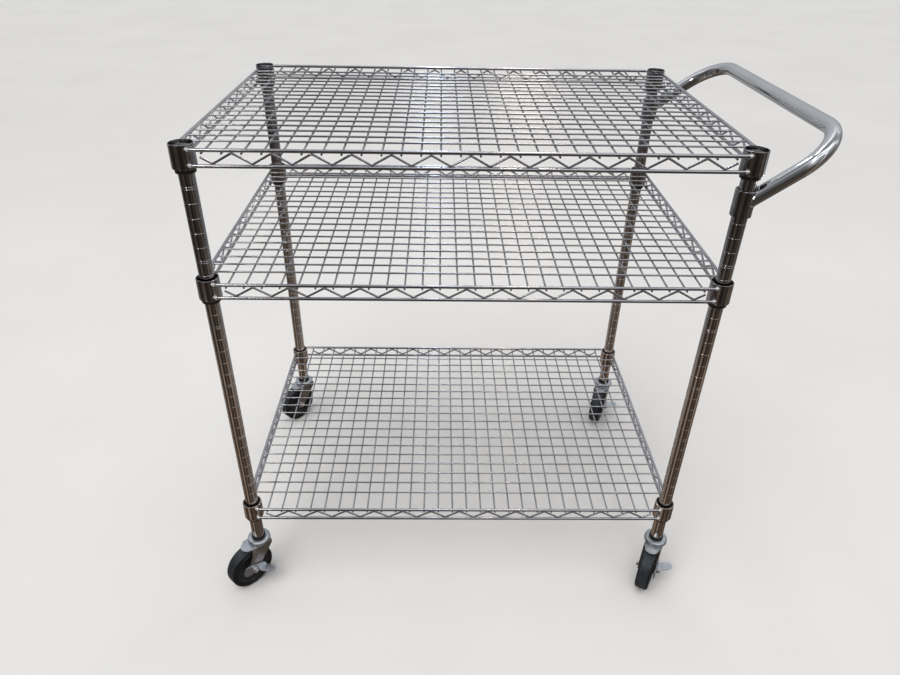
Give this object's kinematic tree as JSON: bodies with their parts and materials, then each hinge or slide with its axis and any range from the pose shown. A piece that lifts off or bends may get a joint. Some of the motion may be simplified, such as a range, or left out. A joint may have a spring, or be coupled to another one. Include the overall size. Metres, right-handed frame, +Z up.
{
  "type": "wire shelf cart",
  "caption": "Wheeled utility cart with three welded wire shelves on grooved posts, a tubular push handle and swivel casters.",
  "frame": {"origin": "on the floor under the middle of the cart's overall box", "axes": "+X along the cart towards the push handle, +Y across it towards the back, +Z up"},
  "size_m": [1.097, 0.686, 1.0111],
  "materials": {
    "post_chrome": "bright nickel-chrome plated tube, rolled grooves",
    "cap_plastic": "moulded grey-black plastic plug",
    "wire_chrome": "bright chrome plated wire, resistance welded",
    "collar_chrome": "chrome plated pressed steel",
    "handle_chrome": "polished chrome plated tube",
    "black_plastic": "black moulded plastic",
    "zinc_plate": "bluish zinc plated pressed steel",
    "bolt_steel": "zinc plated fastener",
    "wheel_plastic": "dark grey moulded wheel centre",
    "tyre_rubber": "smooth black rubber tread"
  },
  "bodies": {
    "root": {"post_fl": "post_chrome", "post_fr": "post_chrome", "post_bl": "post_chrome", "post_br": "post_chrome", "post_caps": "cap_plastic", "mat_bottom": "wire_chrome", "truss_front_bottom": "wire_chrome", "truss_back_bottom": "wire_chrome", "truss_left_bottom": "wire_chrome", "truss_right_bottom": "wire_chrome", "collars_bottom": "collar_chrome", "sleeves_bottom": "black_plastic", "mat_middle": "wire_chrome", "truss_front_middle": "wire_chrome", "truss_back_middle": "wire_chrome", "truss_left_middle": "wire_chrome", "truss_right_middle": "wire_chrome", "collars_middle": "collar_chrome", "sleeves_middle": "black_plastic", "mat_top": "wire_chrome", "truss_front_top": "wire_chrome", "truss_back_top": "wire_chrome", "truss_left_top": "wire_chrome", "truss_right_top": "wire_chrome", "collars_top": "collar_chrome", "sleeves_top": "black_plastic", "handle_tube": "handle_chrome", "handle_clamps": "handle_chrome", "handle_inserts": "black_plastic", "stem_grips": "black_plastic", "stem_bolts": "bolt_steel", "raceways": "zinc_plate"},
    "caster_fl": {"fork_fl": "zinc_plate", "axle_fl": "bolt_steel"},
    "wheel_fl": {"wheel_core_fl": "wheel_plastic", "tyre_fl": "tyre_rubber"},
    "lever_fl": {"brake_fl": "zinc_plate"},
    "caster_fr": {"fork_fr": "zinc_plate", "axle_fr": "bolt_steel"},
    "wheel_fr": {"wheel_core_fr": "wheel_plastic", "tyre_fr": "tyre_rubber"},
    "lever_fr": {"brake_fr": "zinc_plate"},
    "caster_bl": {"fork_bl": "zinc_plate", "axle_bl": "bolt_steel"},
    "wheel_bl": {"wheel_core_bl": "wheel_plastic", "tyre_bl": "tyre_rubber"},
    "caster_br": {"fork_br": "zinc_plate", "axle_br": "bolt_steel"},
    "wheel_br": {"wheel_core_br": "wheel_plastic", "tyre_br": "tyre_rubber"},
    "lever_br": {"brake_br": "zinc_plate"}
  },
  "joints": [
    {"name": "swivel_fl", "type": "hinge", "parent": "root", "child": "caster_fl", "pos_m": [-0.48375, -0.26221, 0.1056], "axis": [0, 0, 1], "continuous": true},
    {"name": "roll_fl", "type": "hinge", "parent": "caster_fl", "child": "wheel_fl", "pos_m": [-0.50626, -0.28634, 0.05], "axis": [0.7314, -0.682, 0], "continuous": true},
    {"name": "brake_press_fl", "type": "hinge", "parent": "caster_fl", "child": "lever_fl", "pos_m": [-0.50626, -0.28634, 0.05], "axis": [-0.7314, 0.682, 0], "range_deg": [0, 22]},
    {"name": "swivel_fr", "type": "hinge", "parent": "root", "child": "caster_fr", "pos_m": [0.39425, -0.26221, 0.1056], "axis": [0, 0, 1], "continuous": true},
    {"name": "roll_fr", "type": "hinge", "parent": "caster_fr", "child": "wheel_fr", "pos_m": [0.37825, -0.29107, 0.05], "axis": [0.8746, -0.4848, 0], "continuous": true},
    {"name": "brake_press_fr", "type": "hinge", "parent": "caster_fr", "child": "lever_fr", "pos_m": [0.37825, -0.29107, 0.05], "axis": [-0.8746, 0.4848, 0], "range_deg": [0, 22]},
    {"name": "swivel_bl", "type": "hinge", "parent": "root", "child": "caster_bl", "pos_m": [-0.48375, 0.31979, 0.1056], "axis": [0, 0, 1], "continuous": true},
    {"name": "roll_bl", "type": "hinge", "parent": "caster_bl", "child": "wheel_bl", "pos_m": [-0.50452, 0.29415, 0.05], "axis": [0.7771, -0.6293, 0], "continuous": true},
    {"name": "swivel_br", "type": "hinge", "parent": "root", "child": "caster_br", "pos_m": [0.39425, 0.31979, 0.1056], "axis": [0, 0, 1], "continuous": true},
    {"name": "roll_br", "type": "hinge", "parent": "caster_br", "child": "wheel_br", "pos_m": [0.3803, 0.28988, 0.05], "axis": [0.9063, -0.4226, 0], "continuous": true},
    {"name": "brake_press_br", "type": "hinge", "parent": "caster_br", "child": "lever_br", "pos_m": [0.3803, 0.28988, 0.05], "axis": [-0.9063, 0.4226, 0], "range_deg": [0, 22]}
  ]
}
